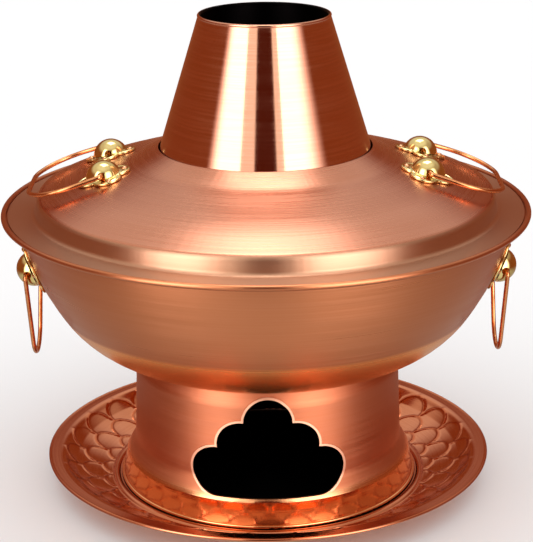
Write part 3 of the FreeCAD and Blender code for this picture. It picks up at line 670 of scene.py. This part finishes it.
# %% [markdown]
# ## The saucer
# The saucer's outline runs from the axis out along the underside, over a low rib that centres the
# stand, up the dished flank to a flat brim with a rolled edge, and back over the top to the axis. The
# top of the flank is sampled finely to carry the scales, and the pattern fades out before the brim
# and before the rib. The rest is sampled coarsely, because it is smooth.

# %% Turn the saucer
SAUCER_UNDER = [(0, 0, 0), (94.5, 0, 0.8), (96.3, 1.8, 0.8), (98.1, 0, 0.8), (101.0, 0, 8),
                (122.5, 8.3, 30), (129.7, 16.4, 3), (136.5, 16.4, 0)]
SAUCER_SHEET = 1.2
SAUCER_WIRE = (137.3, 17.0, 1.0, -143.1, 143.1)
SAUCER_COLUMNS = 810
SCALES_FROM = 98.9
SCALES_TO = 129.6
SCALES_FADE = (1.0, 1.5)
SCALE_SAMPLE = 0.68
LONG_RUN = 40.0


def fine_between(path, low, high, step):
    """The path with its stretch between radius low and high sampled evenly at the step, and the
    length walked to each point."""
    walked = np.concatenate([[0], np.cumsum(np.linalg.norm(np.diff(path, axis=0), axis=1))])
    first, last = np.interp([low, high], path[:, 0], walked)
    kept = walked[(walked < first - step / 2) | (walked > last + step / 2)]
    at = np.sort(np.concatenate([kept, np.linspace(first, last, round((last - first) / step))]))
    return np.stack([np.interp(at, walked, path[:, k]) for k in (0, 1)], 1), at


top_path = rounded(beside(SAUCER_UNDER, SAUCER_SHEET), run=LONG_RUN, turn=22.0)
top_path, walked = fine_between(top_path, SCALES_FROM, SCALES_TO, SCALE_SAMPLE)
start = np.interp(SCALE_FIRST_RADIUS, top_path[:, 0], walked)
turn_angle = np.degrees(np.linspace(0, 2 * np.pi, SAUCER_COLUMNS, endpoint=False))
u = (turn_angle - SCALE_PHASE)[None, :] * SCALES / 360
v = ((walked - start) / SCALE_ROW)[:, None]
half_width = np.pi * np.maximum(top_path[:, :1], 1) / SCALES
relief, line = scale_field(u + 0 * v, v + 0 * u, half_width)
fade_ends = [SCALES_FROM, SCALES_FROM + SCALES_FADE[0], SCALES_TO - SCALES_FADE[1], SCALES_TO]
shown = np.interp(top_path[:, 0], fade_ends, [0, 1, 1, 0])[:, None]

under_path = rounded(SAUCER_UNDER, run=LONG_RUN, turn=30.0)
under_path = np.concatenate([under_path, rolled(*SAUCER_WIRE, count=12)])
saucer_outline = np.concatenate([under_path, top_path[::-1]])
plain = np.zeros((len(under_path), SAUCER_COLUMNS))
relief, line = [np.concatenate([plain, (part * shown)[::-1]])[1:-1] for part in (relief, line)]
saucer = turn_shell("saucer_shell", saucer_outline, SAUCER_COLUMNS, relief)
# The ridges' strength goes on the mesh, for the material to paint them darker as shade.
line_values = saucer.data.attributes.new("scale_line", "FLOAT", "POINT").data
line_values.foreach_set("value", np.concatenate([line.ravel(), [0, 0]]))
print("saucer relief up to", round(float(relief.max()), 2), "mm")

# %% [markdown]
# ## The saucer's finish
# The saucer is polished. The ridges of its scales are a slightly smoother copper, painted darker and
# redder as shade, which draws the pattern as fine dark lines. The mesh carries the ridges as an
# attribute that the material reads. The middle, under the stand, is painted black as shade.

# %% Dress the saucer
# Black painted as shade out to just past the stand's foot, where a dark gap shows
SAUCER_SHADE_RADIUS = 93.6
SAUCER_SHADE_FADE = 0.8


def saucer_painted_shade(tree, place):
    """1 in the middle of the saucer, under the stand and just past its foot, which is painted black as
    shade.
    """
    return ramp(tree, place["radius"], (SAUCER_SHADE_RADIUS - SAUCER_SHADE_FADE) * MM, SAUCER_SHADE_RADIUS * MM, 1.0, 0.0)


def ridge_shade_and_polish(tree, place):
    """1 along the ridges of the scales, which are painted darker as shade and are a little smoother.
    """
    return add_node(tree, "ShaderNodeAttribute", attribute_name="scale_line").outputs["Fac"]


# The ridges' second colour is painted shade, darker and redder than the rest.
saucer_copper = brushed_copper("saucer_copper", colour=(0.65, 0.235, 0.115, 1),
                               deep=(0.45, 0.10, 0.03, 1), rough=0.16, grain=0.06, slope=1.0,
                               lean=0.3, second=ridge_shade_and_polish, second_rough=0.12,
                               second_colour=(0.50, 0.11, 0.035, 1), painted_shade=saucer_painted_shade)
stand_in(saucer, "saucer", "saucer", saucer_copper)

# %% [markdown]
# ## Inside pieces
# The fire tube, its ledge and the cone's sleeve are dull copper under soot. The grate is iron.

# %% Dress the inside pieces
SOOT_NOISE = (60.0, 6.0)        # scale and detail
SOOT_SPREAD = (0.32, 0.60)
SOOT_DULLING = (0.3, 0.6)
SOOT_ROUGHNESS = 0.9
SOOT_BUMP = (0.4, 0.4)          # strength and depth


def sooty_metal(name, colour, rough):
    """A dull metal under patches of soot, for what stands in the fire."""
    material, tree, shader = new_material(name)
    blackening = even_noise(tree, turned_place(tree), *SOOT_NOISE)
    tone = blend_colour(tree, ramp(tree, blackening, *SOOT_SPREAD), colour, SOOT_AND_SHADE_BLACK)
    feed(tree, shader.inputs["Base Color"], tone)
    feed(tree, shader.inputs["Metallic"], 1.0)
    feed(tree, shader.inputs["Roughness"], ramp(tree, blackening, *SOOT_DULLING, rough, SOOT_ROUGHNESS))
    raise_bump(tree, shader, *SOOT_BUMP, blackening)
    return material


tube_copper = sooty_metal("tube_copper", colour=(0.10, 0.04, 0.02, 1), rough=0.45)
grate_iron = sooty_metal("grate_iron", colour=(0.03, 0.028, 0.028, 1), rough=0.6)
dress(["fire_tube", "grate_ring", "chimney_spigot"], tube_copper)
dress(["charcoal_grate"], grate_iron)

# %% [markdown]
# ## Knobs, plates, rivets and wires
# The knobs are cast brass, turned and polished, so they act as small mirrors. The wires are drawn
# copper, bright along their length. A noise stands for the smears that hands leave: it darkens the
# colour, dulls the polish and ripples the surface a little, all three together.

# %% Dress the fittings
SMEAR_DETAIL = 4.0
SMEAR_SPREAD = (0.4, 0.75)
SMEAR_DULLING = (0.3, 0.8)
SMEAR_TINT = 0.7
SMEAR_ROUGHNESS = 0.10
SMEAR_BUMP = (0.10, 0.3)        # strength and depth
FITTING_METALS = {              # colour, deeper colour, roughness, scale of the smears
    "knob_brass": ((0.74, 0.58, 0.24, 1), (0.52, 0.36, 0.10, 1), 0.07, 120.0),
    "wire_copper": ((0.72, 0.30, 0.12, 1), (0.50, 0.14, 0.04, 1), 0.16, 200.0),
    "rivet_copper": ((0.80, 0.40, 0.22, 1), (0.55, 0.20, 0.08, 1), 0.16, 300.0),
    "plate_brass": ((0.76, 0.61, 0.27, 1), (0.55, 0.38, 0.12, 1), 0.14, 120.0),
}


def polished_metal(name, colour, deep, rough, scale):
    """A bright metal with faint smears. The scale says how small they are."""
    material, tree, shader = new_material(name)
    smear = even_noise(tree, turned_place(tree), scale, SMEAR_DETAIL)
    tint = ramp(tree, smear, *SMEAR_SPREAD, 0.0, SMEAR_TINT)
    dulled = ramp(tree, smear, *SMEAR_DULLING, rough, rough + SMEAR_ROUGHNESS)
    feed(tree, shader.inputs["Base Color"], blend_colour(tree, tint, colour, deep))
    feed(tree, shader.inputs["Metallic"], 1.0)
    feed(tree, shader.inputs["Roughness"], dulled)
    raise_bump(tree, shader, *SMEAR_BUMP, smear)
    return material


metals = {name: polished_metal(name, *look) for name, look in FITTING_METALS.items()}
dress([n for n in nodes if "_knob_" in n], metals["knob_brass"])
dress([n for n in nodes if "_bail_" in n], metals["wire_copper"])
dress([n for n in nodes if n.endswith("_rivets")], metals["rivet_copper"])

# %% [markdown]
# ## Petal plates
# Each knob sits on a pressed brass plate of four petals, with a rounded edge, a groove inside the
# edge and a flat boss in the middle. A stamping is best told as a height over a flat outline, so
# the plate is worked out on paper first: an angle and a distance from the middle give its height.
# The paper is then laid on the shell. One way of the paper follows the shell's outline and the other
# runs round the axis, and the height stands out along the shell's normal.

# %% Press the petal plates
PETAL_RADIUS = 8.6
PETAL_REACH = 7.9
PLATE_FOOT = 0.1
PLATE_TOP = 1.6
PLATE_EDGE = 0.6
GROOVE_INSET = 1.7
GROOVE_DEPTH = 0.45
GROOVE_WIDTH = 0.5
BOSS_RADIUS = 11.0
BOSS_TOP = 2.1
BOSS_EDGE = 0.2
PLATE_COLUMNS = 144
EDGE_STEP = 15
TOP_INSETS = (0.75, 3.1, 0.15)  # from, to and step
INNER_ROWS = 14
KNOB_ASIDE = 26.5


def plate_grid():
    """The plate on paper: two flat ways and a height for each row and column. The outline is the
    outer edge of four circles, so at an angle a from the nearest petal's axis it lies at
    reach cos a + the root of (radius^2 - (reach sin a)^2). The rows go outwards underneath, round
    the edge as a quarter circle, and back in over the top, which has a groove and a boss."""
    angle = np.linspace(0, 2 * np.pi, PLATE_COLUMNS, endpoint=False)
    off = (angle + np.pi / 4) % (np.pi / 2) - np.pi / 4
    outline = PETAL_REACH * np.cos(off) + np.sqrt(PETAL_RADIUS ** 2 - (PETAL_REACH * np.sin(off)) ** 2)
    turn = np.radians(np.arange(0, 91, EDGE_STEP))
    top_insets = np.arange(*TOP_INSETS)
    inset = np.concatenate([[PLATE_EDGE / 2, 0], PLATE_EDGE * (1 - np.cos(turn)), top_insets])
    height = np.concatenate([[PLATE_FOOT, PLATE_FOOT + PLATE_EDGE / 2],
                             PLATE_TOP - PLATE_EDGE * (1 - np.sin(turn))])
    share = np.linspace(1, 0, INNER_ROWS + 2)[1:-1, None]
    distance = np.concatenate([outline - inset[:, None], (outline - inset[-1]) * share])
    edge = outline - distance
    deep = GROOVE_DEPTH * np.clip((outline - BOSS_RADIUS - GROOVE_INSET) / GROOVE_INSET, 0, 1)
    groove = deep * np.exp(-((edge - GROOVE_INSET) / GROOVE_WIDTH) ** 2)
    inside_boss = np.clip((BOSS_RADIUS + BOSS_EDGE - distance) / (2 * BOSS_EDGE), 0, 1)
    boss = (BOSS_TOP - PLATE_TOP) * inside_boss
    top = PLATE_TOP - groove + boss
    top[:len(height)] = height[:, None]
    return distance * np.cos(angle), distance * np.sin(angle), top


def lay_on(path, side, radius, azimuth, ways, height):
    """Lay paper on a shell. A point p along and q across moves p along the path from the given
    radius and turns q / r round the axis, then stands out by its height along the normal. A side
    of -1 turns the paper over."""
    walked = np.concatenate([[0], np.cumsum(np.linalg.norm(np.diff(path, axis=0), axis=1))])
    tangent = np.gradient(path, walked, axis=0)
    tangent /= np.linalg.norm(tangent, axis=1, keepdims=True)
    at = np.interp(radius, path[:, 0], walked) + side * ways[0]
    r, z, outwards, upwards = [np.interp(at, walked, v) for v in (*path.T, *tangent.T)]
    turned = azimuth + ways[1] / r
    r, z = r - side * upwards * height, z + side * outwards * height
    return np.stack([r * np.cos(turned), r * np.sin(turned), z], -1) * MM


print("paper for a plate of", PLATE_COLUMNS, "columns ready")

# %% [markdown]
# ## Eight plates on two shells
# The lid and the bowl each carry two plates on either hand, one in front and one behind. A plate's
# middle is the foot of its knob, and its angle round the axis comes from where the bail's end turns in
# the knob: so far aside and so far out. The lid's plates lie on top of its outline. The bowl's lie
# under its own, so there the paper is turned over.

# %% Lay the petal plates
OVER = 1
UNDER = -1
PLACES = {                      # body, outline, side, radius of a knob's foot, x of the bail's axis
    "lid": ("lid", LID_TOP, OVER, 99.0, 96.516),
    "bowl": ("pot", BOWL_UNDER, UNDER, 141.96, 143.251),
}
along, across, plate_height = plate_grid()
middle_heights = np.array([PLATE_FOOT, BOSS_TOP])
for shell_name, (body, corners, side, radius, reach) in PLACES.items():
    path = rounded(corners, run=1.0, turn=1.0)
    for hand, middle in (("right", 0.0), ("left", math.pi)):
        for end, sense in (("front", -1), ("back", 1)):
            azimuth = middle + math.cos(middle) * sense * math.atan(KNOB_ASIDE / reach)
            surface = lay_on(path, side, radius, azimuth, (along, across), plate_height)
            caps = lay_on(path, side, radius, azimuth, np.zeros((2, 2)), middle_heights)
            petals = ring_mesh(f"{shell_name}_petals_{hand}_{end}", surface, caps)
            node = f"{shell_name}_plate_{hand}_{end}"
            stand_in(petals, node, body, metals["plate_brass"])

# %% [markdown]
# ## The room that the copper shows
# Polished copper shows its surroundings, so the light is built as a surrounding: a procedural sky
# instead of lamps. What the metal sees in it depends on where its ray goes, and two angles in degrees
# tell that. One goes round the pot from the front, positive to the right, and the other is the height
# above the horizon. A patch of the sky is a window in each of the two angles.

# %% Find where a ray goes
DEGREES = 180 / math.pi

world = bpy.data.worlds.new("studio")
scene.world = world
world.use_nodes = True
sky = world.node_tree
sky.nodes.clear()
toward = add_node(sky, "ShaderNodeTexCoord").outputs["Generated"]
axes = add_node(sky, "ShaderNodeSeparateXYZ")
sky.links.new(toward, axes.inputs[0])
front = sum_node(sky, "MULTIPLY", axes.outputs[1], -1.0)
around = sum_node(sky, "MULTIPLY", sum_node(sky, "ARCTAN2", axes.outputs[0], front), DEGREES)
off_front = sum_node(sky, "ABSOLUTE", around)
height = sum_node(sky, "MULTIPLY", sum_node(sky, "ARCSINE", axes.outputs[2]), DEGREES)


def patch(angle, side, rise, soft):
    """1 inside a soft-edged patch of the sky: side is its range of the angle round the pot, rise its
    range of height, and soft the widths of its four edges."""
    return sum_node(sky, "MULTIPLY", window(sky, angle, *side, *soft[:2]),
                    window(sky, height, *rise, *soft[2:]))


print("sky tells directions with", len(sky.nodes), "nodes")

# %% [markdown]
# ## Walls, ceiling and table
# Low down the room is a dark warm brown. Higher up it turns into walls, paler on the left than on
# the right and palest behind, and then into a ceiling. Below the horizon there is a pale table,
# bright in front and dimmer behind, which the metal sees in place of the floor. A dark card stands in
# front, where the camera is. Each step from one to the next is a ramp in one of the angles.

# %% Paint the room
DARK_ROOM = (0.31, 0.088, 0.028, 1)
LEFT_WALL = (0.85, 0.74, 0.66, 1)
RIGHT_WALL = (0.58, 0.47, 0.40, 1)
BACK_WALL = (0.92, 0.90, 0.88, 1)
CEILING = (1.15, 1.12, 1.08, 1)
TABLE_FRONT = (0.86, 0.85, 0.84, 1)
TABLE_BACK = (0.52, 0.47, 0.44, 1)
CARD = (0.10, 0.012, 0.001, 1)
LEFT_TO_RIGHT = (-0.7, 0.7)     # along x on the unit sphere, the other ranges in degrees
SIDE_TO_BACK = (100, 160)
DARK_TO_WALL = (19, 40)
WALL_TO_CEILING = (45, 70)
FRONT_TO_BACK = (20, 130)
ROOM_TO_TABLE = (-12, -34)
CARD_PATCH = ((-11.5, 11.5), (-14, 44), (1.5, 1.5, 10, 12))     # side, rise and soft edges

walls = blend_colour(sky, ramp(sky, axes.outputs[0], *LEFT_TO_RIGHT), LEFT_WALL, RIGHT_WALL)
walls = blend_colour(sky, ramp(sky, off_front, *SIDE_TO_BACK), walls, BACK_WALL)
room = blend_colour(sky, ramp(sky, height, *DARK_TO_WALL), DARK_ROOM, walls)
room = blend_colour(sky, ramp(sky, height, *WALL_TO_CEILING), room, CEILING)
table = blend_colour(sky, ramp(sky, off_front, *FRONT_TO_BACK), TABLE_FRONT, TABLE_BACK)
room = blend_colour(sky, ramp(sky, height, *ROOM_TO_TABLE), room, table)
room = blend_colour(sky, patch(around, *CARD_PATCH), room, CARD)
print("room painted with", sum(n.bl_idname == "ShaderNodeMix" for n in sky.nodes), "blends")

# %% [markdown]
# ## Soft boxes
# Soft boxes give the metal its highlights. Two tall ones stand in front, one on either hand, with a
# weaker glow between each of them and the card. A broad one hangs overhead and behind. Light adds up,
# so each patch is multiplied by its colour and added to what is there.

# %% Hang the soft boxes
BOX = (4.6, 4.6, 4.8)
GLOW = (1.3, 1.45, 1.45)
OVERHEAD = (4.9, 4.9, 5.2)
BOX_RISE = (-12, 40)
BOX_ENDS = (8, 16)
TALL_BOXES = [                  # colour, range of the angle round the pot, soft widths of its sides
    (BOX, (22, 42), (2, 30)),
    (BOX, (-50, -29), (17, 2)),
    (GLOW, (13, 21), (1.5, 1)),
    (GLOW, (-28, -13), (1, 1.5)),
]
OVERHEAD_PATCH = ((148, 181), (67, 88), (22, 1, 8, 2))


def add_light(light, colour, share):
    """The light plus the colour times the share."""
    part = add_node(sky, "ShaderNodeVectorMath", operation="SCALE")
    feed(sky, part.inputs[0], colour)
    feed(sky, part.inputs["Scale"], share)
    total = add_node(sky, "ShaderNodeVectorMath", operation="ADD")
    feed(sky, total.inputs[0], light)
    feed(sky, total.inputs[1], part.outputs[0])
    return total.outputs[0]


light = room
for colour, side, soft in TALL_BOXES:
    light = add_light(light, colour, patch(around, side, BOX_RISE, soft + BOX_ENDS))
light = add_light(light, OVERHEAD, patch(off_front, *OVERHEAD_PATCH))
print("studio light with", sum(n.bl_idname == "ShaderNodeMapRange" for n in sky.nodes), "soft edges")

# %% [markdown]
# ## Three kinds of ray
# One sky serves three kinds of ray. A ray that a mirror sends out sees the room. A ray from the
# camera sees the backdrop. Every other ray, which is what lights the floor, sees an even light.

# %% Sort the rays
EVEN_LIGHT = 1.24
BACKDROP = 1.0


def background(colour):
    """A Background shader of this colour."""
    node = add_node(sky, "ShaderNodeBackground")
    feed(sky, node.inputs["Color"], colour)
    return node.outputs[0]


def choose(share, first, second):
    """The first shader where the share is 0 and the second where it is 1."""
    node = add_node(sky, "ShaderNodeMixShader")
    for socket, value in zip(node.inputs, (share, first, second)):
        sky.links.new(value, socket)
    return node.outputs[0]


ray = add_node(sky, "ShaderNodeLightPath")
lit = choose(ray.outputs["Is Glossy Ray"], background((EVEN_LIGHT,) * 3 + (1,)), background(light))
seen = choose(ray.outputs["Is Camera Ray"], lit, background((BACKDROP,) * 3 + (1,)))
sky_out = add_node(sky, "ShaderNodeOutputWorld")
sky.links.new(seen, sky_out.inputs[0])
print("world", world.name, "has", len(sky.nodes), "nodes")

# %% [markdown]
# ## The floor
# The floor is a pale disc, so wide that its edge is lost in the backdrop. It catches a soft shadow.
# The copper doesn't see it, because the room already has a table in it.

# %% Lay the floor
FLOOR_RADIUS = 40.0             # in metres
FLOOR_SIDES = 96
FLOOR_DROP = 0.2                # just clear of the saucer's underside
FLOOR_COLOUR = (0.82, 0.81, 0.81, 1)


def flat_disc(name, radius):
    """A flat disc at z = 0: each corner is the radius times the cosine and sine of its angle."""
    angle = np.linspace(0, 2 * np.pi, FLOOR_SIDES, endpoint=False)
    edge = radius * np.stack([np.cos(angle), np.sin(angle), 0 * angle], 1)
    mesh = bpy.data.meshes.new(name)
    mesh.from_pydata(edge.tolist(), [], [list(range(FLOOR_SIDES))])
    disc = bpy.data.objects.new(name, mesh)
    scene.collection.objects.link(disc)
    return disc


floor_paint, floor_tree, floor_shader = new_material("floor_paint")
feed(floor_tree, floor_shader.inputs["Base Color"], FLOOR_COLOUR)
feed(floor_tree, floor_shader.inputs["Roughness"], 1.0)
feed(floor_tree, floor_shader.inputs["Specular IOR Level"], 0.0)
floor = flat_disc("floor", FLOOR_RADIUS)
floor.data.materials.append(floor_paint)
floor.location.z = -FLOOR_DROP * MM
floor.visible_glossy = False
print("floor of radius", FLOOR_RADIUS, "m")
